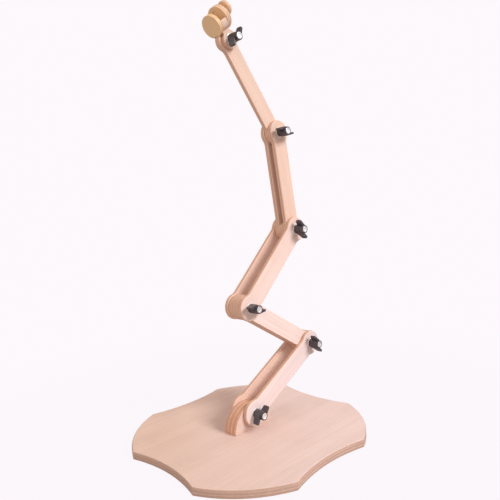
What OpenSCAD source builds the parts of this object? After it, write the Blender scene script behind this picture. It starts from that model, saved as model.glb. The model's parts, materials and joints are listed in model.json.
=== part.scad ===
// Jointed plywood stand: five arm links on a scalloped base, with a clamp head.
// Frame: X along the arm's plane, Y along every pivot (hand knobs on -Y), Z up,
// origin at the centre of the base's underside. Units are millimetres.

/* [Base] */
// Distance from the centre to the corners of the base
base_r = 136; // [120:1:150]
// Thickness of the base board
base_t = 9; // [7:0.5:12]
// Half the angle that each lobe spans, in degrees
lobe_half_angle = 21.7; // [19:0.1:25]
// Distance from the centre to the middle of a scallop, as a share of base_r
scallop_share = 0.86; // [0.83:0.01:0.89]
// Chamfer along the edges of the base
base_chamfer = 1; // [0.5:0.1:1.5]

/* [Post] */
// Height of the first pivot above the base board
pivot_lift = 19; // [18:0.5:20]
// Radius of the half-round post
post_r = 28.7; // [27:0.1:31]

/* [Arm] */
// Distance between the two pivots of a link
pitch = 120; // [100:1:140]
// Thickness of the solid bars and of the post
core_t = 18; // [15:0.5:20]
// Thickness of the wide cheeks
cheek_t = 5; // [4:0.5:6]
// Width of the wide cheeks
wide_w = 24; // [22:0.5:26]
// Radius of the round ends of the wide cheeks
wide_end_r = 15.3; // [14:0.1:16]
// Width of the solid bars and of the narrow cheeks
slim_w = 21.5; // [20:0.5:23]
// Radius of the round ends of the solid bars and of the narrow cheeks
slim_end_r = 14.7; // [13:0.1:15.5]
// Radius of the fillet between a link's straight part and its round end
end_fillet_r = 10; // [6:0.5:14]
// Thickness of the top bar
top_bar_t = 5.6; // [4:0.2:6]
// Width of the top bar
top_bar_w = 21; // [19:0.5:22]
// Radius of the round ends of the top bar
top_end_r = 13.6; // [12:0.1:14.4]
// Gap between two wooden faces that turn on each other
side_gap = 0.2; // [0.1:0.05:0.4]
// Tilt of each link from the vertical, towards +X, in degrees
link_tilts = [60.8, -57.3, 45.9, -6.6, -34.2];

/* [Head] */
// Tilt of the head from the vertical, towards +X, in degrees
head_tilt = -36; // [-50:1:-20]
// Thickness of the head's two cheeks
head_cheek_t = 4.4; // [4:0.2:5]
// Radius of the round ears at the head's pivot
ear_r = 10.2; // [9:0.2:10.8]
// Distance from the head's pivot to the floor of the clamp slot
slot_floor = 22.3; // [21:0.1:24]
// Width of the clamp slot
slot_w = 9.9; // [9:0.1:12]
// Radius of the left jaw
left_jaw_r = 12.6; // [12:0.1:14]
// Thickness of the left jaw
left_jaw_t = 4.8; // [4:0.2:6]
// Radius of the right jaw, which carries the clamp screw
right_jaw_r = 13.7; // [13:0.1:15]
// Thickness of the right jaw
right_jaw_t = 6.5; // [5:0.5:8]
// Distance from the head's pivot to the clamp screw
screw_n = 28; // [27:0.5:29]
// Radius of the wooden clamp screw
clamp_rod_r = 4; // [3:0.5:5]
// Radius of the disc that turns the clamp screw
clamp_knob_r = 8.5; // [8:0.5:10]

/* [Joint hardware] */
// Radius of a joint bolt
bolt_r = 2.5; // [2:0.5:3]
// Radial clearance of a bolt in the parts that turn on it
bolt_clearance = 0.05; // [0.02:0.01:0.1]
// Radius of the washers
washer_r = 6; // [5:0.5:7]
// Thickness of the washers
washer_t = 1; // [0.8:0.1:1.5]
// Height of a hand knob
knob_h = 13.3; // [12:0.1:15]
// Length of a wing, measured along it from the knob's axis
wing_reach = 12; // [10:0.5:14]
// Distance that each wing is set sideways from the knob's axis
wing_offset = 3.8; // [0:0.1:4.2]
// Angle of each knob's wings from +X towards +Z, in degrees
wing_angles = [58, -42, 4, -45, 9, 78];

/* [Hidden] */
$fn = 64;
joint_count = 6;
bore_r = bolt_r + bolt_clearance;
core_half = core_t / 2;
fork_in = core_half + side_gap;
fork_out = fork_in + cheek_t;
slot_in = top_bar_t / 2 + side_gap;
slim_cheek_t = core_half - slot_in;
head_out = slot_in + head_cheek_t;
base_top = base_t;

// Pivots as [x, z]: each link adds one pitch along its own tilt
function pivot(i) = i == 0
    ? [0, base_top + pivot_lift]
    : pivot(i - 1) + pitch * [sin(link_tilts[i - 1]), cos(link_tilts[i - 1])];
// Distance from the arm's plane to the outer wooden face of each joint
outer_face = [fork_out, fork_out, fork_out, fork_out, core_half, head_out];

bolt_head_h = 3.4;
bolt_head_r = 4.6;
bolt_recess = 0.6;
insert_r = 3.6;
insert_proud = 0.25;
hub_base_r = 5.4;
hub_top_r = 4.9;
wing_root_t = 3.8;
wing_tip_t = 2.2;
wing_corner_r = 1.5;

foot_screw_r = 2;
foot_screw_len = 28;
foot_screw_head_r = 4;
foot_screw_x = 16;

slot_mid = -0.55;                  // slot centre, measured along the clamp screw
left_in = slot_mid - slot_w / 2;   // inner face of the left jaw
right_in = slot_mid + slot_w / 2;  // inner face of the right jaw
left_jaw_n = 21;                   // left jaw's centre above the head's pivot
right_jaw_n = 23.1;                // right jaw's centre above the head's pivot
pad_floor = 11.3;                  // lowest point of the outer blocks
clamp_knob_t = 4.8;
clamp_knob_gap = 8.2;              // from the right jaw to the clamp screw's disc

ply_color = "#e8cbb6";
core_color = "#dfbb9f";
jaw_color = "#c9ab78";
steel_color = "#d8d8d6";
plastic_color = "#2b2a2d";

// ---- placing helpers -------------------------------------------------------

// Puts children at pivot i, with their own XY plane in the arm's plane and
// their +Z pointing to the knob side (-Y)
module at_pivot(i) {
    p = pivot(i);
    translate([p[0], 0, p[1]]) rotate([90, 0, 0]) children();
}

// The same, turned so that their +Y runs along a link of the given tilt
module along(i, tilt) {
    at_pivot(i) rotate([0, 0, -tilt]) children();
}

// Plate between two distances from the arm's plane, positive on the knob side
module plate(from, to) {
    translate([0, 0, from]) linear_extrude(to - from) children();
}

// ---- base ------------------------------------------------------------------

corner_half = 45 - lobe_half_angle;
half_chord = base_r * sin(corner_half);
scallop_depth = base_r * cos(corner_half) - scallop_share * base_r;
scallop_r = (half_chord ^ 2 + scallop_depth ^ 2) / (2 * scallop_depth);
scallop_centre = scallop_share * base_r + scallop_r;

module base_plate() {
    c = base_chamfer;
    color(ply_color) difference() {
        rotate_extrude($fn = 180) polygon([
            [0, 0], [base_r - c, 0], [base_r, c],
            [base_r, base_t - c], [base_r - c, base_t], [0, base_t]
        ]);
        for (a = [0:90:270]) rotate([0, 0, a]) translate([scallop_centre, 0, 0])
            rotate_extrude($fn = 240) polygon([
                [0, -1], [scallop_r + c + 1, -1], [scallop_r, c],
                [scallop_r, base_t - c], [scallop_r + c + 1, base_t + 1], [0, base_t + 1]
            ]);
        for (x = [-foot_screw_x, foot_screw_x]) translate([x, 0, 0]) {
            translate([0, 0, -1]) cylinder(h = base_t + 2, r = foot_screw_r + 0.2);
            translate([0, 0, -0.01]) cylinder(h = 3.2, r1 = foot_screw_head_r + 0.6, r2 = foot_screw_r);
        }
    }
}

module post() {
    color(core_color) difference() {
        translate([0, 0, base_top]) rotate([90, 0, 0]) difference() {
            translate([0, 0, -core_half]) cylinder(h = core_t, r = post_r, $fn = 120);
            translate([-post_r - 1, -post_r - 1, -core_half - 1])
                cube([2 * post_r + 2, post_r + 1, core_t + 2]);
            translate([0, pivot_lift, -core_half - 1]) cylinder(h = core_t + 2, r = bore_r);
        }
        for (x = [-foot_screw_x, foot_screw_x])
            translate([x, 0, 0]) cylinder(h = foot_screw_len, r = foot_screw_r);
    }
}

module post_screws() {
    head_h = 2.4;
    color(steel_color) for (x = [-foot_screw_x, foot_screw_x]) translate([x, 0, 0.4]) {
        cylinder(h = head_h, r1 = foot_screw_head_r, r2 = foot_screw_r);
        cylinder(h = foot_screw_len - 4, r = foot_screw_r);
    }
}

// ---- arm links -------------------------------------------------------------

// Round end of radius r at the origin, filleted into a bar of width w along +Y
module round_end(w, r) {
    f = end_fillet_r;
    x = w / 2 + f;
    y = sqrt((r + f) ^ 2 - x ^ 2);
    touch = [x, y] * r / (r + f);
    circle(r);
    difference() {
        polygon([[0, 0], touch, [w / 2, y], [-w / 2, y], [-touch[0], touch[1]]]);
        for (s = [-1, 1]) translate([s * x, y]) circle(f);
    }
}

// Bar with a larger round end at each pivot, running along +Y
module link_outline(w, r) {
    inset = sqrt((r + end_fillet_r) ^ 2 - (w / 2 + end_fillet_r) ^ 2) - 0.5;
    translate([-w / 2, inset]) square([w, pitch - 2 * inset]);
    round_end(w, r);
    translate([0, pitch]) mirror([0, 1]) round_end(w, r);
}

module link_bores(from, to, ends = [0, pitch]) {
    for (y = ends) translate([0, y, from - 1]) cylinder(h = to - from + 2, r = bore_r);
}

// One wooden bar of link i between two distances from the arm's plane
module link_piece(i, w, r, from, to) {
    along(i - 1, link_tilts[i - 1]) difference() {
        plate(from, to) link_outline(w, r);
        link_bores(from, to);
    }
}

module wide_cheek(i, side) {
    color(ply_color) if (side > 0) link_piece(i, wide_w, wide_end_r, fork_in, fork_out);
    else link_piece(i, wide_w, wide_end_r, -fork_out, -fork_in);
}

module link_2_bar() {
    color(core_color) link_piece(2, slim_w, slim_end_r, -core_half, core_half);
}

module slim_cheek(side) {
    inner = core_half - slim_cheek_t;
    color(ply_color) if (side > 0) link_piece(4, slim_w, slim_end_r, inner, core_half);
    else link_piece(4, slim_w, slim_end_r, -core_half, -inner);
}

// Block that fills the slot of link 4 at its lower end
module link_4_spacer() {
    spacer_len = 9.5;
    color(core_color) along(3, link_tilts[3]) difference() {
        plate(-slot_in, slot_in) intersection() {
            circle(slim_end_r);
            translate([-slim_end_r, -slim_end_r]) square([2 * slim_end_r, slim_end_r + spacer_len]);
        }
        link_bores(-slot_in, slot_in, [0]);
    }
}

module link_5_bar() {
    color(ply_color) link_piece(5, top_bar_w, top_end_r, -top_bar_t / 2, top_bar_t / 2);
}

// ---- clamp head ------------------------------------------------------------

// Ear at the pivot with a neck that runs up to the slot's floor
module head_cheek(from, to) {
    color(ply_color) along(5, head_tilt) difference() {
        plate(from, to) {
            circle(ear_r);
            translate([left_in, 0]) square([slot_w, slot_floor]);
        }
        link_bores(from, to, [0]);
    }
}

// Block under the slot between two distances from the arm's plane; its outer
// ends follow the left jaw's circle
module head_block(floor_n, from, to) {
    color(core_color) along(5, head_tilt) intersection() {
        translate([left_in, floor_n, from]) cube([slot_w, slot_floor - floor_n, to - from]);
        translate([left_in - 1, left_jaw_n, 0]) rotate([0, 90, 0])
            cylinder(h = slot_w + 2, r = left_jaw_r);
    }
}

// Round jaw: a disc square to the slot, cut where it clears the ears and link 5
module jaw(from, t, n, r) {
    along(5, head_tilt) difference() {
        translate([from, n, 0]) rotate([0, 90, 0]) cylinder(h = t, r = r);
        cylinder(h = 2 * head_out, r = ear_r + 0.3, center = true);
        cylinder(h = 2 * slot_in, r = top_end_r + 0.6, center = true);
    }
}

// Along the clamp screw: children's +Z runs from the left jaw to the right one
module on_screw(from) {
    along(5, head_tilt) translate([from, screw_n, 0]) rotate([0, 90, 0]) children();
}

module left_jaw() {
    color(jaw_color) jaw(left_in - left_jaw_t, left_jaw_t, left_jaw_n, left_jaw_r);
}

module right_jaw() {
    color(jaw_color) difference() {
        jaw(right_in, right_jaw_t, right_jaw_n, right_jaw_r);
        on_screw(right_in - 1)
            cylinder(h = right_jaw_t + 2, r = clamp_rod_r + bolt_clearance);
    }
}

knob_from = right_in + right_jaw_t + clamp_knob_gap;

module clamp_rod() {
    tip_chamfer = 0.8;
    end = knob_from + clamp_knob_t - 1.5;
    color(jaw_color) on_screw(right_in) {
        cylinder(h = tip_chamfer, r1 = clamp_rod_r - tip_chamfer, r2 = clamp_rod_r);
        translate([0, 0, tip_chamfer]) cylinder(h = end - right_in - tip_chamfer, r = clamp_rod_r);
    }
}

module clamp_knob() {
    round_r = 1.2;
    r = clamp_knob_r;
    t = clamp_knob_t;
    arc = [for (a = [0:15:90]) round_r * [sin(a), cos(a)]];
    rim = [for (p = arc) [r - round_r + p[0], t - round_r + p[1]]];
    foot = [for (p = arc) [r - round_r + p[1], round_r - p[0]]];
    color(jaw_color) on_screw(knob_from) difference() {
        rotate_extrude() polygon(concat([[0, t]], rim, foot, [[0, 0]]));
        translate([0, 0, -1]) cylinder(h = t - 0.5, r = clamp_rod_r);
    }
}

// ---- joint hardware --------------------------------------------------------

module joint_bolt(j) {
    face = outer_face[j - 1];
    tip = face + washer_t + knob_h + insert_proud - bolt_recess;
    color(steel_color) at_pivot(j - 1) {
        translate([0, 0, -face - washer_t - bolt_head_h])
            cylinder(h = bolt_head_h, r = bolt_head_r, $fn = 6);
        translate([0, 0, -face - washer_t]) cylinder(h = tip + face + washer_t, r = bolt_r);
    }
}

module joint_washer(j, side) {
    face = outer_face[j - 1];
    color(steel_color) at_pivot(j - 1) difference() {
        translate([0, 0, side > 0 ? face : -face - washer_t]) cylinder(h = washer_t, r = washer_r);
        cylinder(h = 4 * face, r = bore_r, center = true);
    }
}

// One wing: set sideways from the axis, thinner at its tip, its foot rising
// along +X
module wing() {
    r = wing_reach;
    root = wing_root_t / 2;
    tip = wing_tip_t / 2;
    intersection() {
        translate([0, -wing_offset, 0]) linear_extrude(knob_h)
            polygon([[0, -root], [r, -tip], [r, tip], [0, root]]);
        rotate([90, 0, 0]) translate([0, 0, -root]) linear_extrude(wing_offset + 2 * wing_root_t)
            offset(r = wing_corner_r, $fn = 32) offset(delta = -wing_corner_r)
                polygon([[-2, 0.8], [r, 4.5], [r, 12], [-2, 10.6]]);
    }
}

module joint_knob(j) {
    face = outer_face[j - 1] + washer_t;
    color(plastic_color) at_pivot(j - 1) translate([0, 0, face]) difference() {
        union() {
            cylinder(h = knob_h, r1 = hub_base_r, r2 = hub_top_r);
            for (turn = [0, 180]) rotate([0, 0, wing_angles[j - 1] + turn]) wing();
        }
        translate([0, 0, -1]) cylinder(h = knob_h + 2, r = insert_r);
    }
}

module joint_knob_insert(j) {
    face = outer_face[j - 1] + washer_t;
    color(steel_color) at_pivot(j - 1) translate([0, 0, face]) difference() {
        cylinder(h = knob_h + insert_proud, r = insert_r);
        translate([0, 0, -1]) cylinder(h = knob_h + 3, r = bore_r);
    }
}

// ---- nodes -----------------------------------------------------------------

base_plate();
post();
post_screws();
wide_cheek(1, 1);  // link_1_front_cheek
wide_cheek(1, -1);  // link_1_rear_cheek
link_2_bar();
wide_cheek(3, 1);  // link_3_front_cheek
wide_cheek(3, -1);  // link_3_rear_cheek
slim_cheek(1);  // link_4_front_cheek
slim_cheek(-1);  // link_4_rear_cheek
link_4_spacer();
link_5_bar();
head_cheek(slot_in, head_out);  // head_front_cheek
head_cheek(-head_out, -slot_in);  // head_rear_cheek
head_block(top_end_r + 0.6, -slot_in, slot_in);  // head_spacer
head_block(pad_floor, head_out, left_jaw_r);  // head_front_pad
head_block(pad_floor, -left_jaw_r, -head_out);  // head_rear_pad
left_jaw();
right_jaw();
clamp_rod();
clamp_knob();
joint_bolt(1);  // joint_1_bolt
joint_washer(1, -1);  // joint_1_rear_washer
joint_washer(1, 1);  // joint_1_front_washer
joint_knob(1);  // joint_1_knob
joint_knob_insert(1);  // joint_1_knob_insert
joint_bolt(2);  // joint_2_bolt
joint_washer(2, -1);  // joint_2_rear_washer
joint_washer(2, 1);  // joint_2_front_washer
joint_knob(2);  // joint_2_knob
joint_knob_insert(2);  // joint_2_knob_insert
joint_bolt(3);  // joint_3_bolt
joint_washer(3, -1);  // joint_3_rear_washer
joint_washer(3, 1);  // joint_3_front_washer
joint_knob(3);  // joint_3_knob
joint_knob_insert(3);  // joint_3_knob_insert
joint_bolt(4);  // joint_4_bolt
joint_washer(4, -1);  // joint_4_rear_washer
joint_washer(4, 1);  // joint_4_front_washer
joint_knob(4);  // joint_4_knob
joint_knob_insert(4);  // joint_4_knob_insert
joint_bolt(5);  // joint_5_bolt
joint_washer(5, -1);  // joint_5_rear_washer
joint_washer(5, 1);  // joint_5_front_washer
joint_knob(5);  // joint_5_knob
joint_knob_insert(5);  // joint_5_knob_insert
joint_bolt(6);  // joint_6_bolt
joint_washer(6, -1);  // joint_6_rear_washer
joint_washer(6, 1);  // joint_6_front_washer
joint_knob(6);  // joint_6_knob
joint_knob_insert(6);  // joint_6_knob_insert
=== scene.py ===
"""Looks of the jointed plywood stand: procedural materials, light and camera around the part.

Lengths are in metres, and the frame is the CAD's: X along the arm's plane, Y along every pivot
with the hand knobs on -Y, Z up, and the origin under the centre of the base.
"""

import json
import math

import bpy
from mathutils import Matrix, Vector


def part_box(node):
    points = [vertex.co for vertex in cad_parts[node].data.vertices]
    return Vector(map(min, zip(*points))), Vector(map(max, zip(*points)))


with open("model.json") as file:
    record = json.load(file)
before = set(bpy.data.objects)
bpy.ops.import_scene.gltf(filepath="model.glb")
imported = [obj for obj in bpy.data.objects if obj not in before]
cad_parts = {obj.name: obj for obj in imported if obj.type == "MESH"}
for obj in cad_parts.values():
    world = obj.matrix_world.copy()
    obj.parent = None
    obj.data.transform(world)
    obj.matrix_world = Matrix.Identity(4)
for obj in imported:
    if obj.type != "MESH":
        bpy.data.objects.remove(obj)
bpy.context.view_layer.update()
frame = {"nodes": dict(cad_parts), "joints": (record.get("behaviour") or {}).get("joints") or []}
nodes = frame["nodes"]

MM = 0.001
AXIS_Y, AXIS_Z = (0, 1, 0), (0, 0, 1)

# ---- measures -----------------------------------------------------------------

joints = {joint["name"]: joint for joint in frame["joints"]}
pivots = [Vector(joints[name]["pos_m"]) for name in sorted(joints) if "arm_pivot" in name]

# The clamp screw slides inwards, from the right jaw to the left one, square to the head's lean
jaw_axis = -Vector(joints["clamp_screw_travel"]["axis"])
HEAD_TILT = math.atan2(-jaw_axis.z, jaw_axis.x)

BASE_TOP = 9 * MM

BASE_PLY, POST_PLY = 1.5 * MM, 3 * MM
LINK_PLY = 1.4 * MM  # aimed at: a link has a whole number of plies, three at least
HEAD_PLIES = 4

# How far the sharp edges are eased, by kind of piece
KNOB_EASE, METAL_EASE, LINK_EASE, WOOD_EASE = 0.5 * MM, 0.15 * MM, 1.2 * MM, 0.45 * MM

# ---- colours, linear RGB ------------------------------------------------------

BASE_FACE, BASE_EDGE = (0.80, 0.63, 0.585), (0.56, 0.37, 0.29)
# The post's face colour is partly its own wood tone, partly painted shade: it is darkened for the
# shadow the lowest link's ear casts on the post's front
POST_SHADED_FACE, HEAD_FACE, EDGE = (0.67, 0.51, 0.45), (0.72, 0.54, 0.45), (0.68, 0.39, 0.26)
LINK_FACES = {1: (0.81, 0.68, 0.67), 2: (0.86, 0.70, 0.66), 3: (0.81, 0.63, 0.57),
              4: (0.78, 0.56, 0.46), 5: (0.76, 0.56, 0.46)}
# The rear cheeks of the forked links take a darker, warmer face colour: painted shade for their
# inner faces, which lie in the front cheeks' shadow
REAR_CHEEK_SHADED_FACE, LINK_EDGE = (0.79, 0.57, 0.48), (0.68, 0.43, 0.31)
JAW_FACE, JAW_EDGE, JAW_EDGE_PALE = (0.76, 0.53, 0.30), (0.76, 0.50, 0.27), (0.70, 0.46, 0.31)
PAINTED_SHADE_TINT = (0.87, 0.80, 0.70)  # painted shade: multiplies the veneer on the side away from the key light
ZINC, PLASTIC = (0.90, 0.90, 0.89), (0.050, 0.040, 0.046)
BACKDROP = (0.985, 0.94, 0.975)
FLOOR_DARK, FLOOR_PALE = (0.50, 0.48, 0.50), (0.54, 0.52, 0.54)

# ---- veneer and plies ---------------------------------------------------------

# Noise scales of the grain, per metre: across it and along it
FINE_GRAIN, MID_GRAIN, WIDE_GRAIN = (420, 9), (160, 5), (38, 3)
PORES_TO_FINE = 2.6  # how much finer the pores are than the fine grain
WIDE_SHADE = 0.10    # how much the wide grain darkens a veneer

# Painted shade on the base, darker and warmer on the side away from the key light: where it
# starts and ends, and how much the clouds shift it
PAINTED_SHADE_FROM, PAINTED_SHADE_TO, PAINTED_SHADE_WOBBLE = -0.10, 0.16, 0.03
# The way towards the painted shade: the base's left side, away from the key light
PAINTED_SHADE_WAY = (-0.75, 0.66, 0)

# Glue line between two plies: its half width as a share of a ply, its strength and its tone
GLUE_SHARE, GLUE_STRENGTH, GLUE_TONE = 0.09, 0.42, 0.45

# A surface whose normal is this close to the stacking direction shows the veneer
PLIES_BELOW, VENEER_ABOVE = 0.75, 0.9

# ---- node helpers -------------------------------------------------------------


class Graph:
    """A material's node tree with short calls for the nodes used here."""

    def __init__(self, name):
        self.mat = bpy.data.materials.new(name)
        self.mat.use_nodes = True
        self.tree = self.mat.node_tree
        self.tree.nodes.clear()
        self.out = self.tree.nodes.new("ShaderNodeOutputMaterial")
        self.shader = self.tree.nodes.new("ShaderNodeBsdfPrincipled")
        self.link(self.shader.outputs[0], self.out.inputs[0])

    def link(self, a, b):
        self.tree.links.new(a, b)

    def feed(self, socket, value):
        """Links the value if it is a socket, and otherwise sets it."""
        if isinstance(value, bpy.types.NodeSocket):
            self.link(value, socket)
        else:
            socket.default_value = value

    def add(self, kind, **settings):
        node = self.tree.nodes.new(kind)
        for key, value in settings.items():
            setattr(node, key, value)
        return node

    def math(self, op, a, b=0.0):
        node = self.add("ShaderNodeMath", operation=op)
        self.feed(node.inputs[0], a)
        self.feed(node.inputs[1], b)
        return node.outputs[0]

    def dot(self, a, vector):
        node = self.add("ShaderNodeVectorMath", operation="DOT_PRODUCT")
        self.link(a, node.inputs[0])
        node.inputs[1].default_value = vector
        return node.outputs["Value"]

    def coords(self):
        node = self.add("ShaderNodeTexCoord")
        return node.outputs["Object"], node.outputs["Normal"]

    def stretched(self, vector, tilt, scale, offset=(0, 0, 0)):
        """Coordinates turned so that Z runs along a link of that tilt, then scaled."""
        turn = self.add("ShaderNodeVectorRotate", rotation_type="Y_AXIS")
        self.link(vector, turn.inputs["Vector"])
        turn.inputs["Angle"].default_value = -tilt
        mapping = self.add("ShaderNodeMapping")
        self.link(turn.outputs[0], mapping.inputs["Vector"])
        mapping.inputs["Scale"].default_value = scale
        mapping.inputs["Location"].default_value = offset
        return mapping.outputs[0]

    def noise(self, vector, scale=1.0, detail=4.0, roughness=0.55, distortion=0.0):
        node = self.add("ShaderNodeTexNoise")
        self.link(vector, node.inputs["Vector"])
        for key, value in (("Scale", scale), ("Detail", detail), ("Roughness", roughness),
                           ("Distortion", distortion)):
            node.inputs[key].default_value = value
        return node.outputs["Fac"]

    def remap(self, value, low, high, to_low=0.0, to_high=1.0):
        """A smooth step from to_low at low to to_high at high."""
        node = self.add("ShaderNodeMapRange", interpolation_type="SMOOTHSTEP")
        self.feed(node.inputs["Value"], value)
        for key, number in (("From Min", low), ("From Max", high),
                            ("To Min", to_low), ("To Max", to_high)):
            node.inputs[key].default_value = number
        return node.outputs["Result"]

    def mix(self, factor, a, b, blend="MIX"):
        node = self.add("ShaderNodeMix", data_type="RGBA", blend_type=blend)
        self.feed(node.inputs["Factor"], factor)
        for socket, value in ((node.inputs["A"], a), (node.inputs["B"], b)):
            self.feed(socket, (*value, 1.0) if isinstance(value, tuple) else value)
        return node.outputs["Result"]

    def bump(self, height, distance):
        node = self.add("ShaderNodeBump")
        self.link(height, node.inputs["Height"])
        node.inputs["Distance"].default_value = distance
        node.inputs["Strength"].default_value = 1.0
        self.link(node.outputs[0], self.shader.inputs["Normal"])

    def set(self, **values):
        """Feeds the shader's inputs, with an underscore for each space in their names."""
        for key, value in values.items():
            self.feed(self.shader.inputs[key.replace("_", " ")], value)


def tone(color, gain):
    return tuple(min(1.0, c * gain) for c in color)


# ---- materials ----------------------------------------------------------------


def plywood(name, face, edge, grain_tilt, stack_axis, ply, origin, grain_axis="Z", streak=1.0,
            shade_side=None):
    """Plywood: veneer with fine grain on the faces, stacked plies with glue lines on the edges.

    stack_axis is the direction the plies are stacked in, ply their thickness and origin a point
    on the sheet's face. The grain runs along grain_axis, turned by grain_tilt, and streak is how
    strongly it shows. The last argument, if given, points to the side that gets painted shade:
    the veneer turns darker and warmer towards it, standing in for the shade away from the key
    light."""
    g = Graph(name)
    place, normal = g.coords()

    def grain(frequencies, offset=(0, 0, 0), **settings):
        across, along = frequencies
        scale = (along, across, across) if grain_axis == "X" else (across, across, along)
        return g.noise(g.stretched(place, grain_tilt, scale, offset), **settings)

    fine = grain(FINE_GRAIN, detail=5, roughness=0.62)
    mid = grain(MID_GRAIN, (3.1, 1.7, 0.4), detail=3)
    wide = grain(WIDE_GRAIN, (0.7, 5.2, 2.9), detail=2, distortion=0.4)
    pores = grain([PORES_TO_FINE * v for v in FINE_GRAIN], detail=2)
    cloud = g.noise(place, scale=11, detail=3)

    veneer = g.mix(g.remap(wide, 0.35, 0.7), face, tone(face, 1 - WIDE_SHADE * streak))
    # Each mark: its noise, the range that it fades in over, its strength, its tone of the edge
    for mark, low, high, strength, gain in (
            (fine, 0.45, 0.75, 0.35 * streak, 0.95),
            (mid, 0.5, 0.8, 0.22 * streak, 0.9),
            (pores, 0.62, 0.72, 0.30 * streak, 0.62),
            (cloud, 0.4, 0.7, 0.10, 1.05)):
        shown = g.math("MULTIPLY", g.remap(mark, low, high), strength)
        veneer = g.mix(shown, veneer, tone(edge, gain))

    # Painted shade: the veneer turns darker and warmer towards the side away from the key light
    if shade_side:
        along_way = g.math("ADD", g.dot(place, shade_side), g.math("MULTIPLY", cloud, PAINTED_SHADE_WOBBLE))
        painted_shade = g.mix(1.0, veneer, PAINTED_SHADE_TINT, "MULTIPLY")
        veneer = g.mix(g.remap(along_way, PAINTED_SHADE_FROM, PAINTED_SHADE_TO), veneer, painted_shade)

    depth = g.math("SUBTRACT", g.dot(place, stack_axis), Vector(origin).dot(Vector(stack_axis)))
    layers = g.math("DIVIDE", depth, ply)
    parity = g.math("MODULO", g.math("ABSOLUTE", g.math("FLOOR", layers)), 2.0)
    glue = g.remap(g.math("PINGPONG", layers, 0.5), 0.0, GLUE_SHARE, 1.0, 0.0)
    speckle = g.noise(place, scale=1500, detail=2)
    end_grain = g.mix(g.remap(speckle, 0.35, 0.65), tone(edge, 0.74), tone(edge, 0.92))
    long_grain = g.mix(g.remap(fine, 0.35, 0.7), tone(edge, 1.12), tone(edge, 0.92))
    plies = g.mix(parity, long_grain, end_grain)
    plies = g.mix(g.math("MULTIPLY", glue, GLUE_STRENGTH), plies, tone(edge, GLUE_TONE))

    facing = g.math("ABSOLUTE", g.dot(normal, stack_axis))
    color = g.mix(g.remap(facing, PLIES_BELOW, VENEER_ABOVE), plies, veneer)
    handled = g.remap(g.noise(place, scale=27, detail=3), 0.55, 0.75)
    color = g.mix(g.math("MULTIPLY", handled, 0.07), color, tone(edge, 0.6))

    relief = g.math("ADD", g.math("MULTIPLY", fine, 0.6), g.math("MULTIPLY", pores, 0.4))
    g.bump(relief, 0.06 * MM)
    g.set(Base_Color=color, Roughness=g.remap(fine, 0.3, 0.8, 0.50, 0.66),
          Specular_IOR_Level=0.35)
    return g.mat


def zinc(name):
    """Zinc-plated steel: slightly patchy, with fine scratches."""
    g = Graph(name)
    place, _ = g.coords()
    patch = g.noise(place, scale=420, detail=4)
    scratch = g.noise(g.stretched(place, 0.6, (3000, 300, 3000)), detail=3)
    g.set(Base_Color=g.mix(g.remap(patch, 0.3, 0.7), tone(ZINC, 0.88), ZINC), Metallic=0.85,
          Roughness=g.remap(scratch, 0.3, 0.7, 0.24, 0.42))
    g.bump(scratch, 0.02 * MM)
    return g.mat


def plastic(name):
    """Black moulded plastic with a fine texture, paler where it is worn."""
    g = Graph(name)
    place, _ = g.coords()
    texture = g.noise(place, scale=2600, detail=2)
    worn = g.noise(place, scale=160, detail=4)
    g.set(Base_Color=g.mix(g.remap(worn, 0.45, 0.75), PLASTIC, tone(PLASTIC, 1.9)),
          Roughness=g.remap(worn, 0.3, 0.7, 0.34, 0.52), Specular_IOR_Level=0.5)
    g.bump(texture, 0.04 * MM)
    return g.mat


# ---- looks of the CAD nodes ---------------------------------------------------


def dress(name, mat):
    ob = nodes[name]
    ob.data.materials.clear()
    ob.data.materials.append(mat)


def ease(name, width, segments=2, clamp=True):
    """Rounds the sharp edges of a CAD node a little.

    The CAD mesh has separate vertices for each face and triangles on its flats, so its vertices
    are welded and its flats joined before the bevel."""
    ob = nodes[name]
    weld = ob.modifiers.new("weld", "WELD")
    weld.merge_threshold = 0.02 * MM
    join = ob.modifiers.new("join", "DECIMATE")
    join.decimate_type = "DISSOLVE"
    join.angle_limit = math.radians(1)
    bevel = ob.modifiers.new("ease", "BEVEL")
    bevel.width = width
    bevel.segments = segments
    bevel.use_clamp_overlap = clamp
    bevel.limit_method = "ANGLE"
    bevel.angle_limit = math.radians(40)
    for poly in ob.data.polygons:
        poly.use_smooth = True
    flat = ob.modifiers.new("flat", "WEIGHTED_NORMAL")
    flat.weight = 100


def side_of(name):
    """A point on the node's lowest Y face, as the origin of its plies."""
    return (0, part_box(name)[0].y, 0)


def thickness(name):
    """The node's size along Y, the direction in which the arm's plies are stacked."""
    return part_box(name)[1].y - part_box(name)[0].y


def dress_base_and_post():
    # The base's veneer gets painted shade on its side away from the key light
    dress("base_plate", plywood("look_base", BASE_FACE, BASE_EDGE, 0, AXIS_Z, BASE_PLY, (0, 0, 0),
                                grain_axis="X", streak=0.5, shade_side=PAINTED_SHADE_WAY))
    dress("post", plywood("look_post", POST_SHADED_FACE, EDGE, math.pi / 2, AXIS_Y, POST_PLY,
                          side_of("post")))


def dress_links():
    """Each link's grain runs along the line between its two pivots."""
    for name in nodes:
        if not name.startswith("link_"):
            continue
        number = int(name.split("_")[1])
        way = pivots[number] - pivots[number - 1]
        tilt = math.atan2(way.x, way.z)
        thick = thickness(name)
        ply = thick / max(3, round(thick / LINK_PLY))
        # Painted shade: the rear cheeks of links 1 and 3 take a darker, warmer face for the shade
        # on their inner faces inside the fork
        shaded_rear_cheek = "rear" in name and number in (1, 3)
        face = REAR_CHEEK_SHADED_FACE if shaded_rear_cheek else LINK_FACES[number]
        dress(name, plywood(f"look_{name}", face, LINK_EDGE, tilt, AXIS_Y, ply, side_of(name)))


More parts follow.
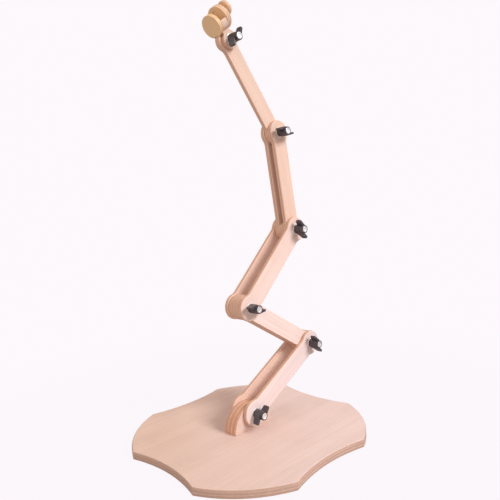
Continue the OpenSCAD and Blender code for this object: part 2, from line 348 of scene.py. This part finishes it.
def dress_head():
    for part in ("front_cheek", "rear_cheek", "spacer", "front_pad", "rear_pad"):
        name = f"head_{part}"
        dress(name, plywood(f"look_{name}", HEAD_FACE, EDGE, HEAD_TILT, AXIS_Y,
                            thickness(name) / HEAD_PLIES, side_of(name)))

    # The plies of the jaws and of the clamp screw are stacked along the screw
    for name in ("left_jaw", "right_jaw", "clamp_knob", "clamp_rod"):
        along = [v.co.dot(jaw_axis) for v in nodes[name].data.vertices]
        low, thick = min(along), max(along) - min(along)
        edge = JAW_EDGE if name == "left_jaw" else JAW_EDGE_PALE
        dress(name, plywood(f"look_{name}", JAW_FACE, edge, HEAD_TILT, tuple(jaw_axis),
                            thick / HEAD_PLIES, tuple(jaw_axis * low)))


def dress_hardware():
    steel, black = zinc("look_zinc"), plastic("look_knob")
    dress("post_screws", steel)
    for number in range(1, len(pivots) + 1):
        for part in ("bolt", "rear_washer", "front_washer", "knob_insert"):
            dress(f"joint_{number}_{part}", steel)
        dress(f"joint_{number}_knob", black)


dress_base_and_post()
dress_links()
dress_head()
dress_hardware()

for name in nodes:
    if name.endswith("_knob"):
        ease(name, KNOB_EASE, 3)
    elif name.startswith("joint_") or name == "post_screws":
        ease(name, METAL_EASE)
    elif name.startswith("link_"):
        ease(name, LINK_EASE, 3, clamp=False)
    else:
        ease(name, WOOD_EASE)

# ---- floor --------------------------------------------------------------------

FLOOR_RADIUS, FLOOR_SIDES = 2.5, 96
# The floor's own shading shows most near the stand and not at all beyond FADE_TO
FADE_FROM, FADE_TO, GLOW_NEAR = 0.15, 0.6, 0.97


def stage_floor():
    """A pale round floor that fades into the backdrop away from the stand."""
    angles = [math.tau * k / FLOOR_SIDES for k in range(FLOOR_SIDES)]
    rim = [(FLOOR_RADIUS * math.cos(a), FLOOR_RADIUS * math.sin(a), 0) for a in angles]
    faces = [(0, 1 + k, 1 + (k + 1) % FLOOR_SIDES) for k in range(FLOOR_SIDES)]
    mesh = bpy.data.meshes.new("studio_floor")
    mesh.from_pydata([(0, 0, 0)] + rim, [], faces)
    ob = bpy.data.objects.new("studio_floor", mesh)
    bpy.context.scene.collection.objects.link(ob)

    g = Graph("look_floor")
    place, _ = g.coords()
    cloud = g.noise(place, scale=2.0, detail=2)
    g.set(Base_Color=g.mix(cloud, FLOOR_DARK, FLOOR_PALE), Roughness=0.9, Specular_IOR_Level=0.1)
    glow = g.add("ShaderNodeEmission")
    glow.inputs["Color"].default_value = (*BACKDROP, 1.0)
    distance = g.add("ShaderNodeVectorMath", operation="LENGTH")
    g.link(place, distance.inputs[0])
    far = g.remap(distance.outputs["Value"], FADE_FROM, FADE_TO, GLOW_NEAR, 1.0)
    rays = g.add("ShaderNodeLightPath")
    blend = g.add("ShaderNodeMixShader")
    g.feed(blend.inputs[0], g.math("MULTIPLY", far, rays.outputs["Is Camera Ray"]))
    g.link(g.shader.outputs[0], blend.inputs[1])
    g.link(glow.outputs[0], blend.inputs[2])
    g.link(blend.outputs[0], g.out.inputs[0])
    mesh.materials.append(g.mat)
    return ob


# ---- camera -------------------------------------------------------------------

VIEW, RISE, ROLL = math.radians(-41.405), math.radians(24.348), math.radians(-4.065)
DISTANCE = 0.63827  # from the eye to the centre of the base's top
AIM_RIGHT, AIM_UP = 0.01875, 0.2198  # from there to the aim, across the view
LENS, SENSOR = 36.566, 36


def place_camera():
    """A camera that sees the stand from VIEW and RISE, aimed a little up and to the right."""
    centre = Vector((0, 0, BASE_TOP))
    outward = Vector((math.sin(VIEW) * math.cos(RISE), -math.cos(VIEW) * math.cos(RISE),
                      math.sin(RISE)))
    right = Vector((math.cos(VIEW), math.sin(VIEW), 0))
    up = right.cross(-outward)
    eye = centre + DISTANCE * outward
    target = centre + right * AIM_RIGHT + up * AIM_UP
    look = (target - eye).normalized()
    side = look.cross(Vector(AXIS_Z)).normalized()
    top = side.cross(look)
    side, top = (side * math.cos(ROLL) + top * math.sin(ROLL),
                 -side * math.sin(ROLL) + top * math.cos(ROLL))
    camera = bpy.data.cameras.new("camera")
    camera.lens = LENS
    camera.sensor_width = SENSOR
    ob = bpy.data.objects.new("camera", camera)
    ob.matrix_world = Matrix((
        (side.x, top.x, -look.x, eye.x), (side.y, top.y, -look.y, eye.y),
        (side.z, top.z, -look.z, eye.z), (0, 0, 0, 1)))
    bpy.context.scene.collection.objects.link(ob)
    bpy.context.scene.camera = ob


place_camera()

# ---- light --------------------------------------------------------------------

AMBIENT, AMBIENT_STRENGTH = (1.0, 0.83, 0.745), 0.55


def lamp(name, toward, softness, power, color):
    """A soft far light; toward points from the stand to the light, softness is in degrees."""
    data = bpy.data.lights.new(name, "SUN")
    data.angle = math.radians(softness)
    data.energy = power
    data.color = color
    ob = bpy.data.objects.new(name, data)
    ob.rotation_euler = Vector(toward).to_track_quat("Z", "Y").to_euler()
    bpy.context.scene.collection.objects.link(ob)


def surroundings():
    """A world that lights the stand warmly, and shows and reflects as the pale backdrop."""
    world = bpy.data.worlds.new("studio")
    world.use_nodes = True
    tree = world.node_tree
    soft = tree.nodes["Background"]
    soft.inputs["Color"].default_value = (*AMBIENT, 1)
    soft.inputs["Strength"].default_value = AMBIENT_STRENGTH
    bright = tree.nodes.new("ShaderNodeBackground")
    bright.inputs["Color"].default_value = (*BACKDROP, 1)
    rays = tree.nodes.new("ShaderNodeLightPath")
    seen = tree.nodes.new("ShaderNodeMath")
    seen.operation = "MAXIMUM"
    tree.links.new(rays.outputs["Is Camera Ray"], seen.inputs[0])
    tree.links.new(rays.outputs["Is Glossy Ray"], seen.inputs[1])
    choice = tree.nodes.new("ShaderNodeMixShader")
    for source, socket in zip((seen, soft, bright), choice.inputs):
        tree.links.new(source.outputs[0], socket)
    tree.links.new(choice.outputs[0], tree.nodes["World Output"].inputs["Surface"])
    bpy.context.scene.world = world


lamp("key", toward=(0.38, -1.0, 0.76), softness=24, power=2.68, color=(0.985, 0.99, 1.0))
lamp("fill", toward=(-1.0, -0.15, 0.4), softness=60, power=0.80, color=(1.0, 0.93, 0.87))
surroundings()
bpy.context.scene.view_settings.view_transform = "Standard"

stage_floor()
